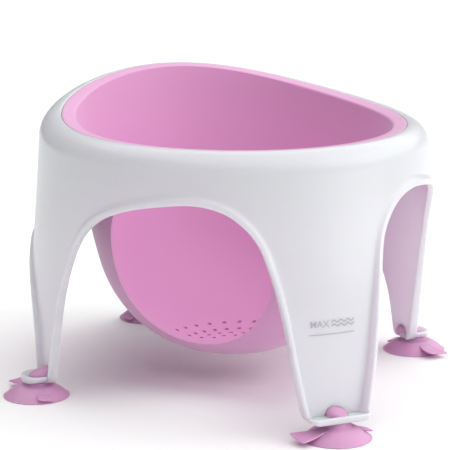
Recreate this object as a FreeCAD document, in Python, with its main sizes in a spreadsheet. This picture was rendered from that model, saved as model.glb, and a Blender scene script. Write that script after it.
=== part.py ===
import FreeCAD, Part
import math
import os
from FreeCAD import Matrix, Placement, Rotation, Vector

# Baby bath seat: a white moulded shell on four legs, a pink seat bucket hung in it, four suction cups.
# Millimetres, +Z up. The origin is on the bath floor, under the middle of the four cups.
# The front, where the crotch post and the print are, faces -Y.

os.makedirs("parts", exist_ok=True)
doc = FreeCAD.newDocument("bath_seat")
sheet = doc.addObject("Spreadsheet::Sheet", "dims")

DIMENSIONS = [
    # Shell wall and the levels at which its oval plan is given
    ("skin", 3.0),
    ("foot_z", 13.2),
    ("ankle_z", 47.0),
    ("calf_z", 77.0),
    ("knee_z", 97.0),
    ("thigh_z", 122.0),
    ("hip_z", 147.0),
    # Half-widths of the recessed panels' outside, across (x) and front to back (y)
    ("foot_x", 143.9),
    ("foot_y", 170.2),
    ("ankle_x", 143.5),
    ("ankle_y", 168.0),
    ("calf_x", 143.3),
    ("calf_y", 165.3),
    ("knee_x", 142.6),
    ("knee_y", 162.5),
    ("thigh_x", 141.6),
    ("thigh_y", 156.0),
    ("hip_x", 140.4),
    ("hip_y", 149.0),
    ("collar_x", 139.3),
    ("collar_y", 142.3),
    # The upper ring sits slightly forward of the feet
    ("hip_forward", 1.0),
    ("collar_forward", 2.0),
    # How far the lip round each arch stands proud of the panels
    ("lip_width", 4.0),
    ("foot_lip_x", 3.8),
    ("foot_lip_y", 6.8),
    ("ankle_lip_x", 3.5),
    ("ankle_lip_y", 6.2),
    ("calf_lip_x", 2.6),
    ("calf_lip_y", 5.3),
    ("knee_lip_x", 2.0),
    ("knee_lip_y", 4.3),
    ("thigh_lip_x", 1.8),
    ("thigh_lip_y", 2.6),
    ("hip_lip_x", 1.5),
    ("hip_lip_y", 1.7),
    # Rim: a rounded top that climbs towards the high back, at a height above the seat's chest
    ("rim_rise", 46.1),
    ("rim_climb", 25.9),
    ("rim_climb_power", 3.9),
    ("rim_radius", 14.5),
    ("crown_width", 1.0),
    ("rim_inner_x", 122.5),
    ("rim_inner_y", 130.0),
    ("rim_forward", 1.7),
    ("ledge_drop", 3.2),
    ("ledge_width", 5.0),
    ("ledge_thickness", 2.6),
    # Foot trays that the cups are pushed into
    ("tray_floor", 2.4),
    ("tray_wall", 2.6),
    ("tray_wall_top", 3.8),
    ("tray_corner", 8.0),
    ("front_tray_end", 182.0),
    ("front_tray_half", 23.5),
    ("side_tray_end", 161.0),
    ("side_tray_half", 12.5),
    # Suction cups
    ("front_cup_y", 171.7),
    ("side_cup_x", 151.8),
    ("cup_radius", 23.5),
    ("cup_dome", 10.5),
    ("cup_hollow", 5.5),
    ("cup_lip", 1.6),
    ("neck_radius", 5.0),
    ("neck_clearance", 0.3),
    ("knob_length", 16.0),
    ("knob_width", 15.0),
    ("knob_rise", 5.6),
    ("front_knob_inward", 0.8),
    ("side_knob_inward", 2.6),
    ("knob_clearance", 0.3),
    ("notch_radius", 5.5),
    ("knob_seat", 0.1),
    ("tab_root", 4.0),
    ("tab_thickness", 1.6),
    ("tab_root_lift", 10.5),
    ("wide_tab_end_lift", 6.5),
    ("small_tab_end_lift", 3.6),
    ("wide_tab_root_half", 4.0),
    ("wide_tab_end_half", 8.5),
    ("wide_tab_reach", 32.0),
    ("small_tab_root_half", 3.5),
    ("small_tab_end_half", 5.5),
    ("small_tab_reach", 25.0),
    # Seat bucket
    ("seat_wall", 3.0),
    ("seat_fit", 0.2),
    ("seat_band", 10.0),
    ("seat_band_fall", 1.4),
    ("bowl_x", 99.6),
    ("bowl_y", 111.0),
    ("bowl_back", 5.0),
    ("bowl_height", 111.0),
    ("bowl_bottom", 17.9),
    ("bowl_roundness", 2.28),
    ("chest_rise", 13.1),
    ("chest_x", 106.5),
    ("chest_y", 116.0),
    ("chest_back", 2.0),
    # Leg holes: ovals cut straight out at the two front corners
    ("leg_hole_half", 61.5),
    ("leg_hole_rise", 63.7),
    ("leg_hole_z", 101.1),
    # Drain holes: four arcs of small holes in the back half of the bowl's bottom
    ("drain_diameter", 3.4),
    ("drain_forward", 2.0),
]


def fill_sheet():
    """Write each driving dimension into its own row, with its name as the alias."""
    for row, (name, value) in enumerate(DIMENSIONS, start=1):
        sheet.set("A%d" % row, name)
        sheet.set("B%d" % row, str(value))
        sheet.setAlias("B%d" % row, name)
    doc.recompute()


def dim(name):
    """Value of a driving dimension."""
    return float(getattr(sheet, name))


def chest_z():
    """Height of the seat's chest, above the widest part of the bowl."""
    return dim("bowl_bottom") + dim("bowl_height") + dim("chest_rise")


def rim_z():
    """Height of the crown at the front of the rim."""
    return chest_z() + dim("rim_rise")


# Opening under the shell between two legs, drawn on an upright plane ARCH_PLANE out along the diagonal:
# how far towards the front or back leg, and how high. The cut fans out from ARCH_APEX.
ARCH_PLANE = 140.0
ARCH_APEX = 35.0
ARCH_NEAR = 80.0
ARCH_FAR = 300.0
BELOW_FLOOR = -10.0
FRONT_ARCH = [(108, 12), (98.2, 47), (91.3, 79), (82.2, 110.5), (74.5, 128), (62, 141), (48, 149.4),
              (30, 153.5), (4, 151.5), (-26, 144.3), (-46, 136), (-61, 126), (-74, 113), (-88, 94),
              (-101, 72), (-114, 45), (-130.5, 12)]
# The arches behind are lower: their tops turn in just above the height of the knees.
BACK_ARCH = [(108, 12), (98.2, 47), (91.5, 67), (80, 84), (62, 96), (40, 102.5), (10, 104), (-15, 101.5),
             (-36, 96), (-52, 89), (-67, 80.5), (-83, 70), (-99, 57), (-113, 42), (-130.5, 12)]

RING_STEPS = 32
LEVELS = ["foot", "ankle", "calf", "knee", "thigh", "hip"]
RIM_ARC_STEPS = 6
BOWL_ANGLES = [12, 20, 29, 38, 47, 56, 65, 74]
WALL_STEPS = 5
DRAIN_ROWS = [(45.7, 7, 14.5), (35.5, 7, 15.0), (27.0, 5, 19.5), (19.0, 3, 27.0)]


def ring(half_x, half_y, centre_y, height, climb=0.0):
    """Closed oval (half_x sin a, centre_y + half_y cos a, height + climb ((1 + cos a)/2)^power), a from the back."""
    points = []
    for step in range(RING_STEPS):
        angle = 2 * math.pi * step / RING_STEPS
        backness = (1 + math.cos(angle)) / 2
        z = height + climb * backness ** dim("rim_climb_power")
        points.append(Vector(half_x * math.sin(angle), centre_y + half_y * math.cos(angle), z))
    knots = [step / RING_STEPS for step in range(RING_STEPS + 1)]
    curve = Part.BSplineCurve()
    curve.interpolate(Points=points, Parameters=knots, PeriodicFlag=True)
    return Part.Wire([curve.toShape()])


def level_ring(level, grow_x=0.0, grow_y=0.0):
    """Oval of the panels' outside at a named level, grown outwards."""
    forward = dim("hip_forward") if level == "hip" else 0.0
    if level == "thigh":
        forward = dim("hip_forward") / 2
    return ring(dim(level + "_x") + grow_x, dim(level + "_y") + grow_y, -forward, dim(level + "_z"))


def rim_ring(inward, down):
    """Oval set in from the rim's inner edge by -inward and lowered from the crown, climbing with the rim."""
    return ring(dim("rim_inner_x") + inward, dim("rim_inner_y") + inward, -dim("rim_forward"),
                rim_z() - down, dim("rim_climb"))


def between(first, last, share):
    """Value that lies the given share of the way from first to last."""
    return first + (last - first) * share


def rim_arc(grow, crown_drop):
    """Ovals of the rounded rim from the wall up to the crown: a quarter ellipse in each upright section.

    The last oval keeps outside the rim's inner edge by the crown's width all the way round."""
    rings = []
    for step in range(RIM_ARC_STEPS + 1):
        angle = math.pi / 2 * step / RIM_ARC_STEPS
        inward = 1 - math.cos(angle)
        half_x = between(dim("collar_x") + grow, dim("rim_inner_x") + dim("crown_width"), inward)
        half_y = between(dim("collar_y") + grow, dim("rim_inner_y") + dim("crown_width"), inward)
        forward = between(dim("collar_forward"), dim("rim_forward"), inward)
        drop = between(dim("rim_radius"), crown_drop, math.sin(angle))
        rings.append(ring(half_x, half_y, -forward, rim_z() - drop, dim("rim_climb")))
    return rings


def skin_faces(rings):
    """Smooth skin through a row of ovals."""
    return Part.makeLoft(rings, False, False).Faces


def band_faces(lower, upper):
    """Straight band between two ovals."""
    return Part.makeLoft([lower, upper], False, True).Faces


def solid_of(faces):
    """Solid closed by faces that share their edges."""
    shell = Part.makeShell(faces)
    shell.sewShape()
    return Part.makeSolid(shell)


def shell_blank():
    """The white ring and its skirt down to the feet, before the arches are cut out of it."""
    skin = dim("skin")
    under_drop = dim("ledge_drop") + dim("ledge_thickness")
    band_fall = dim("seat_band_fall")
    round_outside = rim_arc(0.0, 0.0)
    round_inside = rim_arc(-skin, under_drop)
    edge = rim_ring(0.0, 0.0)
    step = rim_ring(0.0, dim("ledge_drop"))
    ledge = rim_ring(-dim("ledge_width"), dim("ledge_drop") + band_fall / 2)
    ledge_under = rim_ring(-dim("ledge_width"), under_drop + band_fall / 2)
    skirt_outside = [level_ring(level) for level in LEVELS] + [round_outside[0]]
    skirt_inside = [level_ring(level, -skin, -skin) for level in LEVELS] + [round_inside[0]]
    faces = skin_faces(skirt_outside) + skin_faces(round_outside) + band_faces(round_outside[-1], edge)
    faces += band_faces(edge, step) + band_faces(step, ledge) + band_faces(ledge, ledge_under)
    faces += band_faces(ledge_under, round_inside[-1]) + skin_faces(round_inside) + skin_faces(skirt_inside)
    faces += Part.Face(skirt_outside[0]).cut(Part.Face(skirt_inside[0])).Faces
    return solid_of(faces)


def lip_blank():
    """Thicker copy of the skirt that the proud lips are taken from."""
    outside = [level_ring(level, dim(level + "_lip_x"), dim(level + "_lip_y")) for level in LEVELS]
    half_skin = dim("skin") / 2
    inside = [level_ring(level, -half_skin, -half_skin) for level in LEVELS]
    top = dim("hip_z") + dim("rim_radius")
    grow = dim("hip_lip_x")
    outside.append(ring(dim("hip_x") + grow, dim("hip_y") - grow, -dim("hip_forward"), top))
    inside.append(ring(dim("hip_x") - half_skin, dim("hip_y") - 3 * half_skin, -dim("hip_forward"), top))
    return Part.makeLoft(outside, True, False).cut(Part.makeLoft(inside, True, False))


def arch_outline(points):
    """Closed outline of one opening on its upright plane at x = 0, with y towards the front or back leg."""
    places = [Vector(0, across, height) for across, height in points]
    curve = Part.BSplineCurve()
    curve.interpolate(places)
    first = Vector(0, places[0].y + 2.0, BELOW_FLOOR)
    last = Vector(0, places[-1].y - 2.0, BELOW_FLOOR)
    edges = [Part.LineSegment(first, places[0]).toShape(), curve.toShape(),
             Part.LineSegment(places[-1], last).toShape(), Part.LineSegment(last, first).toShape()]
    return Part.Wire(edges)


def arch_fan(outline, corner):
    """Solid that the outline sweeps as it fans out from the apex, turned to the corner it opens at."""
    sections = []
    for distance in (ARCH_NEAR, ARCH_FAR):
        spread = (distance - ARCH_APEX) / (ARCH_PLANE - ARCH_APEX)
        stretch = Matrix()
        stretch.A22 = spread
        section = outline.transformGeometry(stretch)
        section.translate(Vector(distance, 0, 0))
        sections.append(section)
    fan = Part.makeLoft(sections, True, True)
    # Drawn for the left front corner, where the front leg is to the left as seen from the axis
    fan.rotate(Vector(0, 0, 0), Vector(0, 0, 1), -135)
    if "back" in corner:
        fan = fan.mirror(Vector(0, 0, 0), Vector(0, 1, 0))
    if "right" in corner:
        fan = fan.mirror(Vector(0, 0, 0), Vector(1, 0, 0))
    return fan


def upright_box(near, far, half, low, high, corner=0.0):
    """Box from near to far along -Y, with its two far upright edges rounded."""
    box = Part.makeBox(2 * half, far - near, high - low, Vector(-half, -far, low))
    if corner > 0:
        edges = [edge for edge in box.Edges
                 if abs(edge.tangentAt(edge.FirstParameter).z) > 0.9 and edge.CenterOfMass.y < -far + 0.1]
        box = box.makeFillet(corner, edges)
    return box


def leg_details(end, half, wall, cup, knob_inward, turn):
    """Foot tray to add, and the cup's hole and wall notch to take away, for the leg at this turn about Z."""
    base = dim("foot_z")
    floor = base + dim("tray_floor")
    near = wall - dim("skin") / 2
    plate = upright_box(near, end, half, base, base + dim("tray_wall_top"), dim("tray_corner"))
    rim = dim("tray_wall")
    well_top = floor + dim("tray_wall_top") + dim("knob_rise")
    well = upright_box(near - dim("knob_length"), end - rim, half - rim, floor, well_top, dim("tray_corner") - rim)
    tray = plate.cut(well)
    hole_radius = dim("neck_radius") + dim("neck_clearance")
    through = 2 * dim("tray_floor")
    hole = Part.makeCylinder(hole_radius, 2 * through, Vector(0, -cup, base - through))
    knob_middle = Vector(0, knob_inward - cup, floor)
    grow = dim("knob_clearance")
    pocket_size = Matrix()
    pocket_size.scale(dim("knob_width") / 2 + grow, dim("knob_length") / 2 + grow, dim("knob_rise") + grow)
    pocket = Part.makeSphere(1.0).transformGeometry(pocket_size)
    pocket.translate(knob_middle)
    notch = Part.makeCylinder(dim("notch_radius"), 2 * dim("knob_length"), knob_middle, Vector(0, 1, 0))
    span = 4 * dim("knob_length")
    above = Part.makeBox(span, span, span, Vector(-span / 2, -cup - span / 2, floor))
    notch = pocket.fuse(notch).common(above)
    removed = hole.fuse(notch)
    for shape in (tray, removed):
        shape.rotate(Vector(0, 0, 0), Vector(0, 0, 1), turn)
    return tray, removed


# Each leg: its name, the turn about Z from the front, and the names of its sizes
LEGS = [("front", 0, "y"), ("right", 90, "x"), ("back", 180, "y"), ("left", -90, "x")]
CORNERS = ["front_left", "front_right", "back_left", "back_right"]


def make_shell():
    """Outer shell: ring and rim, arches, proud lips, foot trays with the cups' holes."""
    lips = lip_blank()
    added = []
    removed = []
    for corner in CORNERS:
        outline = arch_outline(BACK_ARCH if "back" in corner else FRONT_ARCH)
        added.append(lips.common(arch_fan(outline.makeOffset2D(dim("lip_width")), corner)))
        removed.append(arch_fan(outline, corner))
    for name, turn, axis in LEGS:
        if axis == "y":
            tray, taken = leg_details(dim("front_tray_end"), dim("front_tray_half"), dim("foot_y"),
                                      dim("front_cup_y"), dim("front_knob_inward"), turn)
        else:
            tray, taken = leg_details(dim("side_tray_end"), dim("side_tray_half"), dim("foot_x"),
                                      dim("side_cup_x"), dim("side_knob_inward"), turn)
        added.append(tray)
        removed.append(taken)
    return shell_blank().fuse(added).cut(removed)


def bowl_rings(inset):
    """Ovals of the bowl's skin, a superellipse profile in height, drawn in from the outside by inset."""
    rings = []
    power = 2 / dim("bowl_roundness")
    middle = dim("bowl_bottom") + dim("bowl_height")
    for degrees in BOWL_ANGLES:
        angle = math.radians(degrees)
        width = math.sin(angle) ** power
        z = middle - (dim("bowl_height") - inset) * math.cos(angle) ** power
        rings.append(ring((dim("bowl_x") - inset) * width, (dim("bowl_y") - inset) * width, dim("bowl_back"), z))
    rings.append(ring(dim("chest_x") - inset, dim("chest_y") - inset, dim("chest_back"), chest_z()))
    return rings


def wall_rings(inset, inward, drop):
    """Ovals of the upright wall from above the chest to the rim band, evenly spaced and tilting with the rim.

    The last one is set in from the rim's inner edge by -inward and lowered from the crown by drop. The evenly
    spaced ovals keep the high back straight, where one long span would swing inwards."""
    rings = []
    for step in range(1, WALL_STEPS + 1):
        share = step / WALL_STEPS
        half_x = between(dim("chest_x") - inset, dim("rim_inner_x") + inward, share)
        half_y = between(dim("chest_y") - inset, dim("rim_inner_y") + inward, share)
        back = between(dim("chest_back"), -dim("rim_forward"), share)
        rings.append(ring(half_x, half_y, back, between(chest_z(), rim_z() - drop, share), share * dim("rim_climb")))
    return rings


def seat_blank():
    """The bucket with its rim band, before the leg holes and drain holes."""
    wall = dim("seat_wall")
    band = dim("seat_band")
    fall = dim("seat_band_fall")
    drop = dim("ledge_drop") - dim("seat_fit")
    fit = dim("seat_fit")
    outer = bowl_rings(0.0) + wall_rings(0.0, wall - band, drop + fall * (band - wall) / band)
    flange_under = rim_ring(-fit, drop + fall * fit / band)
    flange_top = rim_ring(-fit, fall * fit / band)
    inner = bowl_rings(wall) + wall_rings(wall, -band, fall)
    inner_edge = inner[-1]
    faces = skin_faces(outer) + band_faces(outer[-1], flange_under) + band_faces(flange_under, flange_top)
    faces += band_faces(flange_top, inner_edge) + skin_faces(inner)
    faces += [Part.Face(outer[0]), Part.Face(inner[0])]
    return solid_of(faces)


def leg_hole(side):
    """Oval prism from the middle of the seat out through a front corner; side is -1 left, +1 right."""
    tall = dim("leg_hole_rise")
    wide = dim("leg_hole_half")
    oval = Part.Ellipse(Vector(0, 0, 0), max(tall, wide), min(tall, wide)).toShape()
    if wide > tall:
        oval.rotate(Vector(0, 0, 0), Vector(0, 0, 1), 90)
    reach = 2 * dim("bowl_y")
    prism = Part.Face(Part.Wire([oval])).extrude(Vector(0, 0, reach))
    # The long axis is stood up, and the prism is laid along the front diagonal
    prism.rotate(Vector(0, 0, 0), Vector(0, 1, 0), -90)
    prism.rotate(Vector(0, 0, 0), Vector(0, 0, 1), 90)
    prism.rotate(Vector(0, 0, 0), Vector(0, 0, 1), 45 * side)
    prism.translate(Vector(0, 0, dim("leg_hole_z")))
    return prism


def drain_holes():
    """Small upright holes on four arcs, fanned about the back centre line."""
    holes = []
    for radius, count, pitch in DRAIN_ROWS:
        for index in range(count):
            angle = math.radians((index - (count - 1) / 2) * pitch)
            place = Vector(radius * math.sin(angle), radius * math.cos(angle) - dim("drain_forward"), 0)
            holes.append(Part.makeCylinder(dim("drain_diameter") / 2, dim("bowl_height") / 2, place))
    return holes


def make_seat():
    """Seat bucket: bowl, high back, rim band, two leg holes with the crotch post between, drain holes."""
    seat = seat_blank()
    for side in (-1, 1):
        seat = seat.cut(leg_hole(side))
    return seat.cut(Part.makeCompound(drain_holes()))


def add_cup(name, turn, axis, tab_turns):
    """One suction cup from primitives: domed bell, neck through the tray, knob and two pull tabs."""
    knob_inward = "front_knob_inward" if axis == "y" else "side_knob_inward"

    def part(kind, suffix, expressions):
        piece = doc.addObject(kind, name + "_" + suffix)
        for property_name, expression in expressions.items():
            piece.setExpression(property_name, expression)
        return piece

    def joined(suffix, kind, **links):
        piece = doc.addObject(kind, name + "_" + suffix)
        for link, value in links.items():
            setattr(piece, link, value)
        return piece

    dome_radius = "(dims.cup_radius ^ 2 + dims.cup_dome ^ 2) / (2 * dims.cup_dome)"
    mouth = "(dims.cup_radius - dims.cup_lip)"
    hollow_radius = "(" + mouth + " ^ 2 + dims.cup_hollow ^ 2) / (2 * dims.cup_hollow)"
    dome = part("Part::Sphere", "dome", {"Radius": dome_radius, "Placement.Base.z": "dims.cup_dome - Radius / 1 mm"})
    above = part("Part::Cylinder", "above", {"Radius": "dims.cup_radius + 1", "Height": "dims.cup_dome + 1"})
    cap = joined("cap", "Part::Common", Base=dome, Tool=above)
    neck = part("Part::Cylinder", "neck", {
        "Radius": "dims.neck_radius",
        "Height": "dims.foot_z + dims.tray_floor + dims.knob_seat + 1 - dims.cup_hollow - 1",
        "Placement.Base.z": "dims.cup_hollow + 1"})
    knob = part("Part::Ellipsoid", "knob", {
        "Radius1": "dims.knob_rise",
        "Radius2": "dims.knob_width / 2",
        "Radius3": "dims.knob_length / 2",
        "Placement.Base.y": "dims." + knob_inward,
        "Placement.Base.z": "dims.foot_z + dims.tray_floor + dims.knob_seat"})
    knob.Angle1 = 0
    tabs = []
    for size, tab_turn in zip(("wide_tab", "small_tab"), tab_turns):
        tab = part("Part::Wedge", size, {
            "Xmin": "-dims." + size + "_root_half",
            "Xmax": "dims." + size + "_root_half",
            "X2min": "-dims." + size + "_end_half",
            "X2max": "dims." + size + "_end_half",
            "Ymin": "dims.tab_root",
            "Ymax": "dims." + size + "_reach",
            "Zmin": "dims.tab_root_lift - dims.tab_thickness",
            "Zmax": "dims.tab_root_lift",
            "Z2min": "dims." + size + "_end_lift - dims.tab_thickness",
            "Z2max": "dims." + size + "_end_lift"})
        tab.Placement = Placement(Vector(0, 0, 0), Rotation(Vector(0, 0, 1), tab_turn - turn))
        tabs.append(tab)
    solid = joined("solid", "Part::MultiFuse", Shapes=[cap, neck, knob] + tabs)
    hollow = part("Part::Sphere", "hollow", {"Radius": hollow_radius, "Placement.Base.z": "dims.cup_hollow - Radius / 1 mm"})
    cup = joined("cup", "Part::Cut", Base=solid, Tool=hollow)
    cup.Label = "suction_cup_" + name
    distance = dim("front_cup_y") if axis == "y" else dim("side_cup_x")
    out = Rotation(Vector(0, 0, 1), turn).multVec(Vector(0, -distance, 0))
    cup.Placement = Placement(out, Rotation(Vector(0, 0, 1), turn))
    return cup


def add_shape(name, shape):
    """Put a computed solid in the document under its own name."""
    feature = doc.addObject("Part::Feature", name)
    feature.Shape = shape
    feature.Label = name
    feature.Placement = Placement()
    return feature


# Turns of each cup's wide and small pull tab about Z, from the back, as the cups happen to stand
TAB_TURNS = {"front": (102, 264), "right": (4, 172), "back": (-70, 110), "left": (16, 178)}

fill_sheet()
nodes = [add_shape("outer_shell", make_shell()), add_shape("seat_bucket", make_seat())]
for leg, leg_turn, leg_axis in LEGS:
    nodes.append(add_cup(leg, leg_turn, leg_axis, TAB_TURNS[leg]))
doc.recompute()

for item in doc.Objects:
    if "Invalid" in item.State or "Error" in item.State:
        raise RuntimeError("failed feature: " + item.Name)
for node in nodes:
    if node.Shape.isNull() or not node.Shape.isValid():
        raise RuntimeError("bad shape: " + node.Label)
    box = node.Shape.BoundBox
    print("%-22s solids %d volume %.0f box x %.1f..%.1f y %.1f..%.1f z %.1f..%.1f" % (
        node.Label, len(node.Shape.Solids), node.Shape.Volume, box.XMin, box.XMax, box.YMin, box.YMax,
        box.ZMin, box.ZMax))
    node.Shape.exportStep("parts/" + node.Label + ".step")
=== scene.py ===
import math
from collections import namedtuple

import bmesh
import bpy
import numpy as np
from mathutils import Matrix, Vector


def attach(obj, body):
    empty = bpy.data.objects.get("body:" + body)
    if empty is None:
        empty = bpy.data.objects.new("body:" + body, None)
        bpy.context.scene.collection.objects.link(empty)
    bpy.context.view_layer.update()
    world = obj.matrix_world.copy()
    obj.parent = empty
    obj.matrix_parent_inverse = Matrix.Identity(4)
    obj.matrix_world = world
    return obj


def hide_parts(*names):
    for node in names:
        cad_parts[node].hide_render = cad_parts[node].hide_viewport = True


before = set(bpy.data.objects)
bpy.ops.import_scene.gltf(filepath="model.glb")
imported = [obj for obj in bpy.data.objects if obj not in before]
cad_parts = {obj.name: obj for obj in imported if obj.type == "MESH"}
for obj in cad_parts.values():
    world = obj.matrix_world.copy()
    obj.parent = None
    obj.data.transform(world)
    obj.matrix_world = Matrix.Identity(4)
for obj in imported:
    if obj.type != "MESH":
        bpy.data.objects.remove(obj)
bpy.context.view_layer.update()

bl_info = {
    "name": "Baby bath seat",
    "version": (1, 0, 0),
    "blender": (4, 5, 0),
    "location": "View3D > Sidebar > Bath seat",
    "description": "Dresses the bath seat: glossy white shell, satin pink seat, suction cups and level mark",
    "category": "Add Mesh",
}

# One millimetre in metres
MM = 0.001

# Sizes are in millimetres and turns in degrees, up to the stage's own
MERGE = 0.02
SHELL_MERGE = 0.05
SKIN = 3.0
# Skirt: the levels, and at each the panels' half-widths, the shift forward and how far the lips stand proud
FOOT_Z = 13.2
LEVEL_Z = np.array([FOOT_Z, 47.0, 77.0, 97.0, 122.0, 147.0, 173.6])
PANEL_X = np.array([143.9, 143.5, 143.3, 142.6, 141.6, 140.4, 139.3])
PANEL_Y = np.array([170.2, 168.0, 165.3, 162.5, 156.0, 149.0, 142.3])
FORWARD = np.array([0.0, 0.0, 0.0, 0.0, 0.5, 1.0, 2.0])
LIP_X = np.array([3.8, 3.5, 2.6, 2.0, 1.8, 1.5, 1.5])
LIP_Y = np.array([6.8, 6.2, 5.3, 4.3, 2.6, 1.7, 1.7])
HIP_Z = 147.0
COLLAR_Z = 173.6
# Lower corners of the legs, rounded as seen from the front of each leg
SOLE_ROUND = 6.5
# Below this height each leg's end is drawn down to its own sole
ANKLE_Z = 45.0
# Rim
CLIMB = 25.9
CLIMB_POWER = 3.9
RIM_Z = 188.1
RIM_X = 122.5
RIM_Y = 130.0
RIM_FORWARD = 1.7
RIM_RADIUS = 14.5
CROWN = 1.0
LEDGE_DROP = 3.2
LEDGE_WIDTH = 5.0
LEDGE_THICK = 2.6
BAND_FALL = 1.4
# Arches, on an upright plane out along the diagonal, fanning out from the apex
ARCH_PLANE = 140.0
ARCH_APEX = 35.0
FRONT_ARCH = [(108, 12), (98.2, 47), (91.3, 79), (82.2, 110.5), (74.5, 128), (62, 141), (48, 149.4),
              (30, 153.5), (4, 151.5), (-26, 144.3), (-46, 136), (-61, 126), (-74, 113), (-88, 94),
              (-101, 72), (-114, 45), (-130.5, 12)]
BACK_ARCH = [(108, 12), (98.2, 47), (91.5, 67), (80, 84), (62, 96), (40, 102.5), (10, 104), (-15, 101.5),
             (-36, 96), (-52, 89), (-67, 80.5), (-83, 70), (-99, 57), (-113, 42), (-130.5, 12)]
# Mesh steps: up a leg's middle line, along the collar, from it to the arch, and round the rim
LEG_STEPS = 44
COLLAR_STEPS = 56
RUN_STEPS = 14
ROUND_STEPS = 10
# Share of the arch's length along each leg, rounding of the cut edge and set-back of its inner side
LEG_SHARE = 0.33
EDGE_ROUND = 0.9
EDGE_INSET = 0.6
# Lip's section: distance from the cut edge and share of the lip's full height, down to the panel
LIP_SECTION = ((1.8, 1.0), (2.7, 1.0), (3.3, 0.985), (3.8, 0.93), (4.2, 0.8), (4.7, 0.6), (5.3, 0.38),
               (6.0, 0.19), (6.8, 0.06), (7.7, 0.0))
# Seat bucket
BOWL_X = 99.6
BOWL_Y = 111.0
BOWL_BACK = 5.0
BOWL_HEIGHT = 111.0
BOWL_BOTTOM = 17.9
BOWL_ROUND = 2.28
# Turns up the bowl's profile at which its ovals are drawn
BOWL_ANGLES = np.array([12, 20, 29, 38, 47, 56, 65, 74])
CHEST_Z = 142.0
CHEST_X = 106.5
CHEST_Y = 116.0
CHEST_BACK = 2.0
SEAT_WALL = 3.0
WALL_STEPS = 5
SEAT_BAND = 10.0
SEAT_FIT = 0.2
SEAT_STEPS = 192
ROWS_PER_SPAN = 5
# Leg holes: half the width, half the height, height of the middle, and how far out the cut runs
LEG_HOLE = (61.5, 63.7, 101.1)
LEG_HOLE_STEPS = 96
LEG_HOLE_REACH = 200.0
# Rows of drain holes: radius of the row, number of holes and pitch in degrees
DRAIN_ROWS = [(45.7, 7, 14.5), (35.5, 7, 15.0), (27.0, 5, 19.5), (19.0, 3, 27.0)]
DRAIN_RADIUS = 1.7
DRAIN_FORWARD = 2.0
DRAIN_STEPS = 20
DRAIN_TOP = 55.0
# Rolled edges of the bucket's holes
ROLL_WIDTH = 0.7
ROLL_ANGLE = 55
# Foot trays: floor and rim over FOOT_Z, wall, lap into the leg's wall, rounding of the rim
TRAY_FLOOR = 2.4
TRAY_TOP = 3.3
TRAY_WALL = 2.6
TRAY_LAP = 0.2
TRAY_ROUND = 0.9
CORNER_STEPS = 14
# Suction cups: bell, hollow, shoulder under the tray, neck, knob
CUP_RADIUS = 23.5
CUP_DOME = 10.5
CUP_HOLLOW = 5.5
CUP_LIP = 1.6
CUP_STEPS = 96
SHOULDER_RADIUS = 7.6
UNDER_TRAY = 0.2
NECK_RADIUS = 5.0
NECK_CLEARANCE = 0.3
KNOB_HALF_WIDTH = 7.5
KNOB_RISE = 5.3
KNOB_SLOPE = 0.45
KNOB_CLEARANCE = 0.3
KNOB_SEAT = 0.1
# Pull tabs: start, height there, thickness, rounding of the end, curl of a corner, share of the sole's drop
TAB_ROOT = 4.0
TAB_LIFT = 10.5
TAB_THICK = 1.6
TAB_ROUND = 1.7
TAB_CURL = 2.2
TAB_FOLLOW = 0.4
# Each kind of tab: half-widths at the root and the end, reach, height of the end and sag on the way
Tab = namedtuple("Tab", "root_half end_half reach end_lift sag")
WIDE_TAB = Tab(root_half=4.0, end_half=8.5, reach=32.5, end_lift=5.2, sag=1.0)
SMALL_TAB = Tab(root_half=3.5, end_half=5.5, reach=23.8, end_lift=4.0, sag=0.3)
# Each kind of foot: sole, floor and rim are added to their heights above, and wall is the panel's distance
Foot = namedtuple("Foot", "sole floor rim tray_end tray_half tray_corner wall knob_inward knob_half")
LONG_FOOT = Foot(sole=-0.6, floor=0.0, rim=0.6, tray_end=182.0, tray_half=23.5, tray_corner=6.5,
                 wall=PANEL_Y[0], knob_inward=0.8, knob_half=8.0)
SIDE_FOOT = Foot(sole=-2.4, floor=-0.8, rim=-0.4, tray_end=162.0, tray_half=12.5, tray_corner=10.5,
                 wall=PANEL_X[0], knob_inward=5.0, knob_half=10.4)
# Each leg: its foot, turn from the front, cup's distance, and turns of the knob's high side and the two tabs
Leg = namedtuple("Leg", "foot turn cup knob_high wide_turn small_turn")
LEGS = {
    "front": Leg(LONG_FOOT, turn=0, cup=171.7, knob_high=130, wide_turn=98, small_turn=264),
    "right": Leg(SIDE_FOOT, turn=90, cup=151.8, knob_high=90, wide_turn=187, small_turn=18),
    "back": Leg(LONG_FOOT, turn=180, cup=171.7, knob_high=90, wide_turn=-70, small_turn=110),
    "left": Leg(SIDE_FOOT, turn=-90, cup=151.8, knob_high=90, wide_turn=5, small_turn=178),
}
# Level mark: half its width, the line, the two waves, the word and how far the print stands proud
MARK_HALF = 16.5
LINE_DROP = 6.6
LINE_WIDTH = 0.6
WAVE_START = -0.5
WAVE_HEIGHTS = (1.5, -1.1)
WAVE_RISE = 0.75
WAVE_LENGTH = 5.2
WAVE_WIDTH = 0.85
WORD_SIZE = 6.3
WORD_END = -2.2
WORD_BOLD = 0.02
PRINT_PROUD = 0.06
# Stage, in metres and degrees: floor, ceiling light, aim and places of the other lights, camera
FLOOR_HALF = 12.0
CEILING_SPREAD = 125
CEILING_TILT = (6, 22)
AIM = (0, 0, 0.1)
KEY_PLACE = (1.4, -1.25, 0.9)
KEY_SIZE = (1.5, 1.5)
STRIP_PLACE = (-1.7, -0.3, 0.7)
STRIP_SIZE = (0.2, 1.4)
CAMERA_PLACE = (-0.56767, -1.29779, 0.41330)
CAMERA_DOWN = 12.07
CAMERA_TURN = -23.64
CAMERA_LENS = 159.3
CAMERA_SHIFT = (-0.0184, 0.0003)


# Numpy helpers

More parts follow.
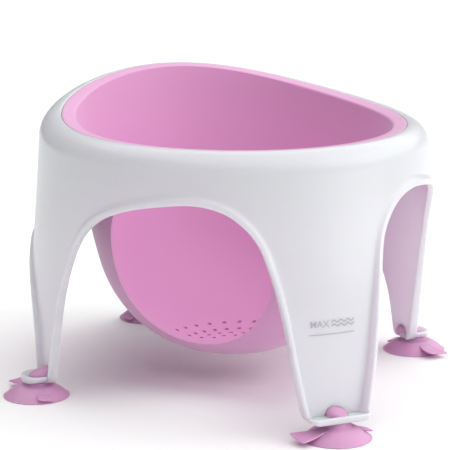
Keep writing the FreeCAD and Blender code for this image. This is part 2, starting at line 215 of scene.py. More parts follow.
def smooth_through(at, xs, ys):
    """Cubic Hermite curve through the points (xs, ys), its slopes being the points' own gradients."""
    xs = np.asarray(xs, float)
    ys = np.asarray(ys, float)
    slope = np.gradient(ys, xs)
    at = np.asarray(at, float)
    i = np.clip(np.searchsorted(xs, at) - 1, 0, len(xs) - 2)
    width = xs[i + 1] - xs[i]
    t = (at - xs[i]) / width
    return ((2 * t ** 3 - 3 * t ** 2 + 1) * ys[i] + (t ** 3 - 2 * t ** 2 + t) * width * slope[i]
            + (3 * t ** 2 - 2 * t ** 3) * ys[i + 1] + (t ** 3 - t ** 2) * width * slope[i + 1])


def step_curve(x):
    """Smooth step 3x^2 - 2x^3 held at 0 and 1 outside its range."""
    x = np.clip(x, 0.0, 1.0)
    return x * x * (3 - 2 * x)


def climb_at(angle):
    """Rise of the rim at each angle from the back: CLIMB ((1 + cos a)/2)^power."""
    return CLIMB * ((1 + np.cos(angle)) / 2) ** CLIMB_POWER


def oval(angle, half_x, half_y, centre_y, z):
    """Points (half_x sin a, centre_y + half_y cos a, z), with a counted from the back."""
    angle, half_x, half_y, centre_y, z = np.broadcast_arrays(angle, half_x, half_y, centre_y, z)
    return np.stack([half_x * np.sin(angle), centre_y + half_y * np.cos(angle), z], axis=-1)


def skirt(angle, level, grow=0.0):
    """Skirt surface: the oval of a level, lifted with the rim above the hip, grown outwards by grow."""
    share = np.clip((level - HIP_Z) / (COLLAR_Z - HIP_Z), 0.0, 1.0)
    z = level + climb_at(angle) * share
    return oval(angle, smooth_through(level, LEVEL_Z, PANEL_X) + grow,
                smooth_through(level, LEVEL_Z, PANEL_Y) + grow, -smooth_through(level, LEVEL_Z, FORWARD), z)


def grid_faces(rows, columns, wrap_rows=False, wrap_columns=False):
    """Quads of a rows by columns grid of vertices, closed round either way if asked."""
    r = np.arange(rows if wrap_rows else rows - 1)
    c = np.arange(columns if wrap_columns else columns - 1)
    r, c = np.meshgrid(r, c, indexing="ij")
    r1 = (r + 1) % rows
    c1 = (c + 1) % columns
    corners = [r * columns + c, r * columns + c1, r1 * columns + c1, r1 * columns + c]
    return np.stack(corners, axis=-1).reshape(-1, 4)


def joined(parts):
    """One vertex array and face list from several (vertices, faces) pairs."""
    vertices = []
    faces = []
    start = 0
    for points, quads in parts:
        points = points.reshape(-1, 3)
        vertices.append(points)
        faces.extend((np.asarray(quads) + start).tolist())
        start += len(points)
    return np.concatenate(vertices), faces


def make_mesh(name, vertices, faces, merge=MERGE):
    """Mesh object from millimetre arrays, with doubles merged and faces turned outwards."""
    mesh = bpy.data.meshes.new(name)
    mesh.from_pydata((vertices * MM).tolist(), [], faces)
    work = bmesh.new()
    work.from_mesh(mesh)
    bmesh.ops.remove_doubles(work, verts=work.verts, dist=merge * MM)
    bmesh.ops.dissolve_degenerate(work, dist=1e-7, edges=work.edges)
    bmesh.ops.recalc_face_normals(work, faces=work.faces)
    work.to_mesh(mesh)
    work.free()
    piece = bpy.data.objects.new(name, mesh)
    bpy.context.scene.collection.objects.link(piece)
    return piece


def close_holes(piece):
    """Fills the piece's open rims, such as the soles of the legs."""
    work = bmesh.new()
    work.from_mesh(piece.data)
    rim = [edge for edge in work.edges if edge.is_boundary]
    if rim:
        bmesh.ops.holes_fill(work, edges=rim, sides=0)
    bmesh.ops.recalc_face_normals(work, faces=work.faces)
    work.to_mesh(piece.data)
    work.free()


def shade(piece, degrees):
    """Smooth shading, with edges sharper than the angle kept crisp."""
    mesh = piece.data
    mesh.polygons.foreach_set("use_smooth", np.ones(len(mesh.polygons), dtype=bool))
    work = bmesh.new()
    work.from_mesh(mesh)
    limit = math.radians(degrees)
    for edge in work.edges:
        edge.smooth = len(edge.link_faces) != 2 or edge.calc_face_angle(0.0) < limit
    work.to_mesh(mesh)
    work.free()


def cut_away(piece, cutter):
    """Takes the cutter's volume out of the piece for good."""
    modifier = piece.modifiers.new("cut", "BOOLEAN")
    modifier.operation = "DIFFERENCE"
    modifier.solver = "EXACT"
    modifier.object = cutter
    bpy.context.view_layer.update()
    result = bpy.data.meshes.new_from_object(piece.evaluated_get(bpy.context.evaluated_depsgraph_get()))
    piece.modifiers.clear()
    old = piece.data
    piece.data = result
    bpy.data.meshes.remove(old)
    bpy.data.objects.remove(cutter)


def finish_piece(piece, material, nodes=()):
    """Gives the piece its material and its body, and hides the CAD nodes that it stands for."""
    piece.data.materials.clear()
    piece.data.materials.append(material)
    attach(piece, "root")
    if nodes:
        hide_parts(*nodes)


# Materials

def new_material(name, colour, roughness):
    """Principled material with its own nodes; returns the material, node tree and shader."""
    material = bpy.data.materials.new(name)
    material.use_nodes = True
    tree = material.node_tree
    shader = tree.nodes["Principled BSDF"]
    shader.inputs["Base Color"].default_value = (*colour, 1.0)
    shader.inputs["Roughness"].default_value = roughness
    return material, tree, shader


def noise_bump(tree, shader, scale, strength, distance):
    """Fine moulding texture as bump from noise; returns its Texture Coordinate node."""
    place = tree.nodes.new("ShaderNodeTexCoord")
    noise = tree.nodes.new("ShaderNodeTexNoise")
    noise.inputs["Scale"].default_value = scale
    noise.inputs["Detail"].default_value = 3.0
    bump = tree.nodes.new("ShaderNodeBump")
    bump.inputs["Strength"].default_value = strength
    bump.inputs["Distance"].default_value = distance
    tree.links.new(place.outputs["Object"], noise.inputs["Vector"])
    tree.links.new(noise.outputs["Fac"], bump.inputs["Height"])
    tree.links.new(bump.outputs["Normal"], shader.inputs["Normal"])
    return place


def vary_roughness(tree, shader, place, scale, low, high):
    """Roughness that drifts between low and high in soft clouds, as a polished mould leaves it."""
    clouds = tree.nodes.new("ShaderNodeTexNoise")
    clouds.inputs["Scale"].default_value = scale
    spread = tree.nodes.new("ShaderNodeMapRange")
    spread.inputs["To Min"].default_value = low
    spread.inputs["To Max"].default_value = high
    tree.links.new(place.outputs["Object"], clouds.inputs["Vector"])
    tree.links.new(clouds.outputs["Fac"], spread.inputs["Value"])
    tree.links.new(spread.outputs["Result"], shader.inputs["Roughness"])


def glossy_white(colour):
    """Glossy white polypropylene of the shell, which lets a little light through its 3 mm wall."""
    material, tree, shader = new_material("glossy_white_shell", colour, 0.3)
    shader.inputs["Subsurface Weight"].default_value = 0.75
    shader.inputs["Subsurface Scale"].default_value = 1.0
    shader.inputs["Subsurface Radius"].default_value = (0.013, 0.008, 0.011)
    shader.inputs["IOR"].default_value = 1.49
    shader.inputs["Coat Weight"].default_value = 0.1
    shader.inputs["Coat Roughness"].default_value = 0.12
    place = noise_bump(tree, shader, 900.0, 0.02, 0.0001)
    vary_roughness(tree, shader, place, 18.0, 0.27, 0.36)
    return material


def satin_pink(colour):
    """Satin soft-touch pink of the seat bucket, with a faint moulded grain."""
    material, tree, shader = new_material("satin_pink_seat", colour, 0.45)
    shader.inputs["IOR"].default_value = 1.47
    shader.inputs["Sheen Weight"].default_value = 0.3
    place = noise_bump(tree, shader, 1800.0, 0.08, 0.0001)
    vary_roughness(tree, shader, place, 22.0, 0.42, 0.52)
    return material


def rubber_pink(colour):
    """Slightly clear pink rubber of the suction cups."""
    material, tree, shader = new_material("pink_rubber_cup", colour, 0.38)
    shader.inputs["IOR"].default_value = 1.46
    shader.inputs["Subsurface Weight"].default_value = 0.3
    shader.inputs["Subsurface Scale"].default_value = 1.0
    shader.inputs["Subsurface Radius"].default_value = (0.004, 0.002, 0.003)
    place = noise_bump(tree, shader, 1200.0, 0.05, 0.0001)
    vary_roughness(tree, shader, place, 60.0, 0.34, 0.44)
    return material


def printed_grey(colour):
    """Pad-printed pale grey of the level mark."""
    material, tree, shader = new_material("grey_print", colour, 0.4)
    noise_bump(tree, shader, 2500.0, 0.03, 0.00005)
    return material


# Shell

def arch_line(points, steps):
    """Arch contour (across, level) at the given shares of its length, and its normals out of the opening."""
    points = np.array(points, float)
    length = np.concatenate([[0], np.cumsum(np.hypot(*np.diff(points, axis=0).T))])
    fine = np.linspace(0, length[-1], 2000)
    across = smooth_through(fine, length, points[:, 0])
    level = smooth_through(fine, length, points[:, 1])
    run = np.concatenate([[0], np.cumsum(np.hypot(np.diff(across), np.diff(level)))])
    at = np.asarray(steps) * run[-1]
    contour = np.stack([np.interp(at, run, across), np.interp(at, run, level)], axis=1)
    tangent = np.gradient(contour, axis=0)
    tangent /= np.linalg.norm(tangent, axis=1, keepdims=True)
    # The panel lies to the right of the way along the contour, and the opening to its left
    return contour, np.stack([tangent[:, 1], -tangent[:, 0]], axis=1)


def fan_hit(across, level, grow_x, grow_y, side_x, side_y):
    """Where the fan's ray at (across, level) meets the skirt's oval, grown by grow_x and grow_y.

    The ray runs from the apex (ARCH_APEX, 0) through (ARCH_PLANE, across) in diagonal coordinates; the larger
    root of (x/A)^2 + ((y - c)/B)^2 = 1 is taken."""
    half_x = smooth_through(level, LEVEL_Z, PANEL_X) + grow_x
    half_y = smooth_through(level, LEVEL_Z, PANEL_Y) + grow_y
    centre = -smooth_through(level, LEVEL_Z, FORWARD)
    root = math.sqrt(0.5)
    start_x = side_x * root * ARCH_APEX
    start_y = side_y * root * ARCH_APEX
    reach = ARCH_PLANE - ARCH_APEX
    run_x = side_x * root * (reach - across)
    run_y = side_y * root * (reach + across)
    a = (run_x / half_x) ** 2 + (run_y / half_y) ** 2
    b = 2 * (start_x * run_x / half_x ** 2 + (start_y - centre) * run_y / half_y ** 2)
    c = (start_x / half_x) ** 2 + ((start_y - centre) / half_y) ** 2 - 1
    k = (-b + np.sqrt(b * b - 4 * a * c)) / (2 * a)
    x = start_x + k * run_x
    y = start_y + k * run_y
    angle = np.arctan2(x / half_x, (y - centre) / half_y)
    return np.stack([x, y, level], axis=-1), angle


def quadrant(points, side_x, side_y):
    """One quadrant of the skirt: a sheet from the inside, round the arch's proud lip, to the outside.

    Rows go round the arch from the front or back leg to the side leg; columns go through the section."""
    total = 2 * LEG_STEPS + COLLAR_STEPS
    index = np.arange(total + 1)
    # The contour is shared out as leg, collar and other leg, closer near the soles: 0.3 t + 0.7 t^1.7
    rise = np.arange(LEG_STEPS + 1) / LEG_STEPS
    rise = LEG_SHARE * (0.3 * rise + 0.7 * rise ** 1.7)
    collar = np.linspace(LEG_SHARE, 1 - LEG_SHARE, COLLAR_STEPS + 1)
    contour, away = arch_line(points, np.concatenate([rise[:-1], collar, 1 - rise[:-1][::-1]]))
    # The lower corners turn in by r - sqrt(r^2 - (r - h)^2) at a height h over the sole
    over_sole = np.clip(SOLE_ROUND - (contour[:, 1] - FOOT_Z), 0, SOLE_ROUND)
    contour[:, 0] += np.sign(away[:, 0]) * (SOLE_ROUND - np.sqrt(SOLE_ROUND ** 2 - over_sole ** 2))
    # Goal of each row: up the leg's middle line, round the collar, down the side leg's middle line
    y_leg = 0.0 if side_y > 0 else side_x * math.pi
    x_leg = side_x * math.pi / 2
    level_goal = np.interp(index, [0, LEG_STEPS, LEG_STEPS + COLLAR_STEPS, total],
                           [FOOT_Z, COLLAR_Z, COLLAR_Z, FOOT_Z])
    turn = np.clip((index - LEG_STEPS) / COLLAR_STEPS, 0, 1)
    angle_goal = y_leg + (x_leg - y_leg) * turn
    lip_x = smooth_through(np.clip(contour[:, 1], FOOT_Z, COLLAR_Z), LEVEL_Z, LIP_X)
    lip_y = smooth_through(np.clip(contour[:, 1], FOOT_Z, COLLAR_Z), LEVEL_Z, LIP_Y)

    def at(offset, depth):
        """Row of points at an offset from the arch's edge, depth 0 on the panel, 1 on the lip, -1 inside."""
        place = contour + away * offset
        place[:, 1] = np.clip(place[:, 1], FOOT_Z, COLLAR_Z)
        if depth >= 0:
            return fan_hit(place[:, 0], place[:, 1], lip_x * depth, lip_y * depth, side_x, side_y)
        return fan_hit(place[:, 0], place[:, 1], SKIN * depth, SKIN * depth, side_x, side_y)

    columns = []
    # Inside of the wall, from the leg's middle line or the collar towards the arch
    edge_inside, angle_inside = at(EDGE_INSET, -1.0)
    angle_inside = np.unwrap(np.concatenate([[y_leg], angle_inside]))[1:]
    for step in range(RUN_STEPS):
        share_in = step / RUN_STEPS
        level = level_goal + (edge_inside[:, 2] - level_goal) * share_in
        angle = angle_goal + (angle_inside - angle_goal) * share_in
        columns.append(skirt(angle, level, -SKIN))
    columns.append(edge_inside)
    # The cut edge, rounded where it meets the inside and the lip's face
    inner, _ = at(0.0, -1.0)
    outer, _ = at(0.0, 1.0)
    for through in (0.12, 0.35, 0.6, 0.82):
        columns.append(inner + (outer - inner) * through)
    thickness = np.maximum(np.linalg.norm(outer - inner, axis=1, keepdims=True), 1e-6)
    for degrees in (20, 45, 70, 90):
        a = math.radians(degrees)
        inner_here, _ = at(EDGE_ROUND * (1 - math.cos(a)), -1.0)
        outer_here, _ = at(EDGE_ROUND * (1 - math.cos(a)), 1.0)
        sunk = EDGE_ROUND * (1 - math.sin(a)) / thickness
        columns.append(outer_here + (inner_here - outer_here) * sunk)
    # Lip's face, its shoulder and the hollow down to the panel
    for offset, depth in LIP_SECTION:
        columns.append(at(offset, depth)[0])
    edge_outside, angle_outside = at(*LIP_SECTION[-1])
    angle_outside = np.unwrap(np.concatenate([[y_leg], angle_outside]))[1:]
    for step in range(1, RUN_STEPS + 1):
        share_out = step / RUN_STEPS
        level = edge_outside[:, 2] + (level_goal - edge_outside[:, 2]) * share_out
        angle = angle_outside + (angle_goal - angle_outside) * share_out
        columns.append(skirt(angle, level))
    sheet = np.stack(columns, axis=1)
    sheet[0, :, 2] = FOOT_Z
    sheet[-1, :, 2] = FOOT_Z
    # Each leg reaches down to its own foot's sole: z + sole ((ANKLE_Z - z)/(ANKLE_Z - FOOT_Z))^2
    sole = np.where(index < total / 2, LONG_FOOT.sole, SIDE_FOOT.sole)[:, None]
    sheet[..., 2] += sole * np.clip((ANKLE_Z - sheet[..., 2]) / (ANKLE_Z - FOOT_Z), 0, 1) ** 2
    return sheet, grid_faces(sheet.shape[0], sheet.shape[1])


def rim_surface():
    """Rounded rim: quarter ellipses from the collar to the crown, the step and the ledge, and back inside.

    A row at the turn t has the half-width wall + (crown - wall)(1 - cos t) and lies RIM_RADIUS (1 - sin t)
    under the rim's top, which climbs to the back."""
    quarter = np.linspace(0, math.pi / 2, COLLAR_STEPS + 1)[:-1]
    angle = np.concatenate([quarter + turn * math.pi / 2 for turn in range(4)])
    lift = climb_at(angle)
    rows = []

    def round_row(grow, crown_drop, turn):
        """One oval of a rounding, between the wall and the crown."""
        inward = 1 - math.cos(turn)
        half_x = PANEL_X[-1] + grow + (RIM_X + CROWN - PANEL_X[-1] - grow) * inward
        half_y = PANEL_Y[-1] + grow + (RIM_Y + CROWN - PANEL_Y[-1] - grow) * inward
        forward = FORWARD[-1] + (RIM_FORWARD - FORWARD[-1]) * inward
        drop = RIM_RADIUS + (crown_drop - RIM_RADIUS) * math.sin(turn)
        return oval(angle, half_x, half_y, -forward, RIM_Z - drop + lift)

    def rim_row(grow, drop):
        """One oval along the rim's inner edge."""
        return oval(angle, RIM_X + grow, RIM_Y + grow, -RIM_FORWARD, RIM_Z - drop + lift)

    for step in range(ROUND_STEPS + 1):
        rows.append(round_row(0.0, 0.0, math.pi / 2 * step / ROUND_STEPS))
    # The crown rolls over into the step with a small radius
    for degrees in (30, 60, 90):
        a = math.radians(degrees)
        rows.append(rim_row(CROWN * (1 - math.sin(a)) * 0.8, 0.8 * (1 - math.cos(a))))
    rows.append(rim_row(0.0, LEDGE_DROP))
    rows.append(rim_row(-LEDGE_WIDTH, LEDGE_DROP + BAND_FALL / 2))
    under = LEDGE_DROP + LEDGE_THICK
    rows.append(rim_row(-LEDGE_WIDTH, under + BAND_FALL / 2))
    for step in range(ROUND_STEPS, -1, -1):
        rows.append(round_row(-SKIN, under, math.pi / 2 * step / ROUND_STEPS))
    sheet = np.stack(rows)
    return sheet, grid_faces(sheet.shape[0], sheet.shape[1], wrap_columns=True)


def turned_about_z(sheet, degrees):
    """The same points turned about the Z axis: (c x - s y, s x + c y, z)."""
    c, s = math.cos(math.radians(degrees)), math.sin(math.radians(degrees))
    x, y, z = sheet[..., 0], sheet[..., 1], sheet[..., 2]
    return np.stack([c * x - s * y, s * x + c * y, z], axis=-1)


def tray_floor(leg):
    """Height of a leg's tray floor."""
    return FOOT_Z + TRAY_FLOOR + leg.foot.floor


def tray_surface(leg):
    """Foot tray: a rounded rectangle swept through the section hole, sole, wall, rim, wall, floor, hole."""
    foot = leg.foot
    end, half = foot.tray_end, foot.tray_half
    near = foot.wall - SKIN + TRAY_LAP
    quarter = np.linspace(0, math.pi / 2, CORNER_STEPS)

    def loop(side, front, z):
        """Rectangle set in by side and front, each corner a quarter circle (cx + r cos a, cy + r sin a)."""
        far = max(foot.tray_corner - max(side, front), 0.4)
        corners = ((half - side, -near, -1, 0, 1.0), (-half + side, -near, 1, 1, 1.0),
                   (-half + side, front - end, 1, 2, far), (half - side, front - end, -1, 3, far))
        points = []
        for x, y, inward, step, radius in corners:
            centre_y = y - radius if step < 2 else y + radius
            a = quarter + step * math.pi / 2
            points.append(np.stack([x + inward * radius + radius * np.cos(a), centre_y + radius * np.sin(a),
                                    np.full(CORNER_STEPS, z)], axis=-1))
        return np.concatenate(points)

    def hole(z):
        """Circle round the cup's neck, each point in line with the loop's."""
        ring = loop(TRAY_WALL, TRAY_WALL, z)
        a = np.arctan2(ring[:, 1] + leg.cup, ring[:, 0])
        radius = NECK_RADIUS + NECK_CLEARANCE
        return np.stack([radius * np.cos(a), radius * np.sin(a) - leg.cup, ring[:, 2]], axis=-1)

    sole = FOOT_Z + foot.sole
    floor = tray_floor(leg)
    top = FOOT_Z + TRAY_TOP + foot.rim
    rows = [hole(sole)]
    # The lower edge follows the rounded corners of the leg at the sides, and is nearly square in front
    for height in (top - sole - TRAY_ROUND) * np.array([0.0, 0.1, 0.25, 0.45, 0.7, 1.0]):
        side = SOLE_ROUND - math.sqrt(SOLE_ROUND ** 2 - (SOLE_ROUND - height) ** 2)
        rows.append(loop(side, TRAY_ROUND * max(0.0, 1 - height) ** 2, sole + height))
    rows += [loop(0.8, 0.25, top - 0.25), loop(1.2, TRAY_ROUND, top)]
    # Over the rim, down the inside of the tray's wall and across its floor
    for past_wall, z in ((-0.7, top), (-0.2, top - 0.25), (0.1, floor + 0.45), (0.7, floor)):
        rows.append(loop(TRAY_WALL + past_wall, TRAY_WALL + past_wall, z))
    rows.append(hole(floor))
    sheet = turned_about_z(np.stack(rows), leg.turn)
    return sheet, grid_faces(sheet.shape[0], sheet.shape[1], wrap_rows=True, wrap_columns=True)


def knob_surface(leg, seat, grow=0.0, rings=28, sides=44):
    """Knob on its seat, the ellipsoid (rx cos u cos v, ry cos u sin v, rz sin u) with its half-axes grown.

    Its height is taken times 1 + KNOB_SLOPE cos u cos(v - high), so that it is higher towards that turn."""
    u = np.linspace(-math.pi / 2, math.pi / 2, rings)[:, None]
    v = (2 * math.pi * np.arange(sides) / sides)[None, :]
    x = (KNOB_HALF_WIDTH + grow) * np.cos(u) * np.cos(v)
    y = (leg.foot.knob_half + grow) * np.cos(u) * np.sin(v) + (leg.foot.knob_inward - leg.cup)
    lean = 1 + KNOB_SLOPE * np.cos(u) * np.cos(v - math.radians(leg.knob_high))
    z = (KNOB_RISE + grow) * np.sin(u) * lean + seat
    return turned_about_z(np.stack([x, y, z], axis=-1), leg.turn), grid_faces(rings, sides, wrap_columns=True)


def make_shell(material):
    """White shell: four quadrants, the rim and the four foot trays, with the knobs' notches cut through."""
    parts = [rim_surface()]
    for side_x in (-1, 1):
        parts.append(quadrant(FRONT_ARCH, side_x, -1))
        parts.append(quadrant(BACK_ARCH, side_x, 1))
    vertices, faces = joined(parts)
    shell = make_mesh("shell_skin", vertices, faces, merge=SHELL_MERGE)
    close_holes(shell)
    for leg in LEGS.values():
        cut_away(shell, make_mesh("pocket", *joined([knob_surface(leg, tray_floor(leg), KNOB_CLEARANCE)])))
    shade(shell, 38)
    finish_piece(shell, material, ["outer_shell"])
    tray = make_mesh("foot_trays", *joined([tray_surface(leg) for leg in LEGS.values()]))
    shade(tray, 50)
    finish_piece(tray, material)


# Seat bucket

def bucket_wall(inset, inward, drop):
    """Rows of the bucket: superellipse profile up from the flat bottom, then straight from chest to band.

    The ovals' half-widths, middles, heights and shares of the climb run smoothly through those worked out."""
    power = 2 / BOWL_ROUND
    middle = BOWL_BOTTOM + BOWL_HEIGHT
    tilt = np.radians(BOWL_ANGLES)
    width = np.sin(tilt) ** power
    height = middle - (BOWL_HEIGHT - inset) * np.cos(tilt) ** power
    bowl = np.stack([(BOWL_X - inset) * width, (BOWL_Y - inset) * width, np.full(len(width), BOWL_BACK),
                     height, np.zeros(len(width))], axis=1)
    chest = np.array([CHEST_X - inset, CHEST_Y - inset, CHEST_BACK, CHEST_Z, 0.0])
    band = np.array([RIM_X + inward, RIM_Y + inward, -RIM_FORWARD, RIM_Z - drop, 1.0])
    share = (np.arange(WALL_STEPS + 1) / WALL_STEPS)[:, None]
    ovals = np.concatenate([bowl, chest + (band - chest) * share])
    run = np.concatenate([[0], np.cumsum(np.hypot(np.diff(ovals[:, 0]), np.diff(ovals[:, 3])))])
    spans = np.arange((len(run) - 1) * ROWS_PER_SPAN + 1) / ROWS_PER_SPAN
    at = np.interp(spans, np.arange(len(run)), run)
    half_x, half_y, back, z, climb = [smooth_through(at, run, column)[:, None] for column in ovals.T]
    angle = (2 * math.pi * np.arange(SEAT_STEPS) / SEAT_STEPS)[None, :]
    sides = oval(angle, half_x, half_y, back, z + climb * climb_at(angle))
    # The flat bottom closes towards its middle
    flat = np.array([0.02, 0.35, 0.7])[:, None]
    bottom = oval(angle, half_x[0] * flat, half_y[0] * flat, BOWL_BACK, z[0])
    return np.concatenate([bottom, sides])


def seat_surface():
    """Closed skin of the bucket: outside up to the rim band, over its rounded edges and down the inside."""
    angle = 2 * math.pi * np.arange(SEAT_STEPS) / SEAT_STEPS

    def band(grow, drop):
        """Oval of the rim band."""
        return oval(angle, RIM_X + grow, RIM_Y + grow, -RIM_FORWARD, RIM_Z - drop + climb_at(angle))

    drop = LEDGE_DROP - SEAT_FIT
    outer = bucket_wall(0.0, SEAT_WALL - SEAT_BAND, drop + BAND_FALL * (SEAT_BAND - SEAT_WALL) / SEAT_BAND)
    inner = bucket_wall(SEAT_WALL, -SEAT_BAND, BAND_FALL)
    # The band's outer edge is rounded, and its inner edge rolls down into the bowl
    rolled = [band(-SEAT_FIT, drop), band(-SEAT_FIT, 0.75), band(-0.45, 0.25), band(-1.0, 0.08),
              band(-2.0, 0.2), band(-8.2, 1.12), band(-9.3, 1.35), band(-SEAT_BAND, BAND_FALL + 0.5)]
    sheet = np.concatenate([outer, np.stack(rolled), inner[::-1][1:]])
    return sheet, grid_faces(sheet.shape[0], SEAT_STEPS, wrap_columns=True)


def prism(outline, start, end):
    """Closed prism of a flat outline carried from start to end along a direction, with fanned end caps."""
    count = len(outline)
    vertices = np.concatenate([outline + start, outline + end])
    loop = np.arange(count)
    ahead = (loop + 1) % count
    sides = np.stack([loop, ahead, ahead + count, loop + count], axis=1).tolist()
    return vertices, sides + [loop[::-1].tolist(), (loop + count).tolist()]


def leg_hole_cutter(side):
    """Upright oval prism from the seat's middle out through a front corner.

    The oval (wide cos a, tall sin a) lies across the diagonal, its width square to the way out."""
    wide, tall, z = LEG_HOLE
    a = 2 * math.pi * np.arange(LEG_HOLE_STEPS) / LEG_HOLE_STEPS
    root = math.sqrt(0.5)
    across = wide * np.cos(a) * root
    outline = np.stack([across, across * side, z + tall * np.sin(a)], axis=-1)
    out = np.array([side * root, -root, 0.0])
    return make_mesh("leg_hole", *prism(outline, out * 0.0, out * LEG_HOLE_REACH))


def drain_cutter():
    """Round upright prisms of all drain holes, in rows round the back of the bucket's bottom."""
    turn = 2 * math.pi * np.arange(DRAIN_STEPS) / DRAIN_STEPS
    ring = np.stack([DRAIN_RADIUS * np.cos(turn), DRAIN_RADIUS * np.sin(turn), 0 * turn], axis=-1)
    drains = []
    faces = []
    for radius, count, pitch in DRAIN_ROWS:
        for index in range(count):
            a = math.radians((index - (count - 1) / 2) * pitch)
            centre = np.array([radius * math.sin(a), radius * math.cos(a) - DRAIN_FORWARD, 0.0])
            points, sides = prism(ring, centre, centre + np.array([0, 0, DRAIN_TOP]))
            start = len(drains) * len(points)
            faces += [[corner + start for corner in face] for face in sides]
            drains.append(points)
    return make_mesh("drains", np.concatenate(drains), faces)


def make_seat(material):
    """Pink bucket: closed skin, two leg holes with rolled edges, drain holes."""
    seat = make_mesh("seat_skin", *joined([seat_surface()]))
    close_holes(seat)
    for side in (-1, 1):
        cut_away(seat, leg_hole_cutter(side))
    cut_away(seat, drain_cutter())
    roll = seat.modifiers.new("rolled_edges", "BEVEL")
    roll.limit_method = "ANGLE"
    roll.angle_limit = math.radians(ROLL_ANGLE)
    roll.width = ROLL_WIDTH * MM
    roll.segments = 3
    roll.use_clamp_overlap = True
    shade(seat, 45)
    finish_piece(seat, material, ["seat_bucket"])


# Suction cups

def cup_surface(leg):
    """Cup of revolution: hollow, rim's bead, dome, concave rise to the shoulder, neck through the tray.

    Hollow and dome are caps of spheres: z = height - R + sqrt(R^2 - r^2)."""
    big = (CUP_RADIUS ** 2 + CUP_DOME ** 2) / (2 * CUP_DOME)
    mouth = CUP_RADIUS - CUP_LIP
    small = (mouth ** 2 + CUP_HOLLOW ** 2) / (2 * CUP_HOLLOW)
    inside = mouth * np.concatenate([[0.0005], np.linspace(0.1, 1.0, 16)])
    hollow = np.stack([inside, CUP_HOLLOW - small + np.sqrt(small ** 2 - inside ** 2)], axis=1)
    bead = np.array([[CUP_RADIUS - 0.5, 0.0], [CUP_RADIUS - 0.12, 0.25], [CUP_RADIUS - 0.02, 0.6]])
    outside = CUP_RADIUS * np.linspace(0.97, 0.52, 16)
    dome = np.stack([outside, CUP_DOME - big + np.sqrt(big ** 2 - outside ** 2)], axis=1)
    # From the dome a quarter turn of an ellipse rises to the shoulder, just under the tray
    under_tray = FOOT_Z + leg.foot.sole - UNDER_TRAY
    a = np.linspace(0.25, math.pi / 2, 9)[:, None]
    start = dome[-1]
    flare = np.concatenate([start[0] + (SHOULDER_RADIUS - start[0]) * np.sin(a),
                            start[1] + (under_tray - 0.3 - start[1]) * (1 - np.cos(a))], axis=1)
    top = tray_floor(leg) + KNOB_SEAT
    neck = np.array([[SHOULDER_RADIUS - 0.3, under_tray], [NECK_RADIUS, under_tray], [NECK_RADIUS, top],
                     [0.01, top]])
    profile = np.concatenate([hollow, bead, dome, flare, neck])
    around = (2 * math.pi * np.arange(CUP_STEPS) / CUP_STEPS)[None, :]
    radius, height = profile[:, :1], profile[:, 1:] * np.ones(CUP_STEPS)
    sheet = np.stack([radius * np.cos(around), radius * np.sin(around) - leg.cup, height], axis=-1)
    return turned_about_z(sheet, leg.turn), grid_faces(len(profile), CUP_STEPS, wrap_columns=True)


def tab_surface(leg, tab, turn):
    """Pull tab: a thin slab with rounded edges that widens towards a nearly square end.

    Its half-width runs from root to end as 3t^2 - 2t^3. Its height falls evenly and sags by sag sin(pi t).
    One corner curls up by TAB_CURL t^2 ((s + 1)/2)^2, s running from -1 to 1 across the tab."""
    left = np.array([TAB_ROUND, 1.0, 0.5, 0.15, 0.0])
    along = np.concatenate([np.linspace(0, 0.93, 22), 1 - left / tab.reach])
    out = TAB_ROOT + (tab.reach - TAB_ROOT) * along
    # A quarter circle over the last TAB_ROUND takes the width in and thins the slab: from 1 down to 0
    rounding = np.sqrt(1 - (1 - np.clip((1 - along) * tab.reach / TAB_ROUND, 0, 1)) ** 2)
    width = tab.root_half + (tab.end_half - tab.root_half) * step_curve(along) - TAB_ROUND * (1 - rounding)
    half_thick = TAB_THICK / 2 * (0.35 + 0.65 * rounding)
    start = TAB_LIFT + TAB_FOLLOW * leg.foot.sole - TAB_THICK / 2
    middle = start + (tab.end_lift - TAB_LIFT) * along - tab.sag * np.sin(math.pi * along)
    # Section: a flat slab with rounded sides, as |cos| ^ 0.4 across and |sin| ^ 0.7 up
    around = 2 * math.pi * (np.arange(24) + 0.5) / 24
    across = np.sign(np.cos(around)) * np.abs(np.cos(around)) ** 0.4
    up = np.sign(np.sin(around)) * np.abs(np.sin(around)) ** 0.7
    side = across[None, :] * width[:, None]
    curl = TAB_CURL * tab.end_half / WIDE_TAB.end_half * along[:, None] ** 2 * ((across + 1) / 2) ** 2
    high = middle[:, None] + up[None, :] * half_thick[:, None] + curl
    sheet = turned_about_z(np.stack([side, out[:, None] * np.ones_like(side), high], axis=-1), turn)
    sheet = sheet + turned_about_z(np.array([0.0, -leg.cup, 0.0]), leg.turn)
    return sheet, grid_faces(sheet.shape[0], len(around), wrap_columns=True)


def make_cups(material):
    """Four suction cups, each with neck, knob and two pull tabs."""
    for name, leg in LEGS.items():
        seat = tray_floor(leg) + KNOB_SEAT
        knob, quads = knob_surface(leg, seat)
        knob[..., 2] = np.maximum(knob[..., 2], seat)
        parts = [cup_surface(leg), (knob, quads),
                 tab_surface(leg, WIDE_TAB, leg.wide_turn), tab_surface(leg, SMALL_TAB, leg.small_turn)]
        piece = make_mesh("cup_" + name, *joined(parts))
        close_holes(piece)
        shade(piece, 50)
        finish_piece(piece, material, ["suction_cup_" + name])


# Level mark

def on_front_leg(points, proud):
    """Maps flat (x, z) points in millimetres onto the front leg's panel, standing proud of it."""
    points = np.asarray(points, float)
    half_x = smooth_through(points[:, 1], LEVEL_Z, PANEL_X)
    angle = math.pi - np.arcsin(np.clip(points[:, 0] / half_x, -1, 1))
    return skirt(angle, points[:, 1], proud)


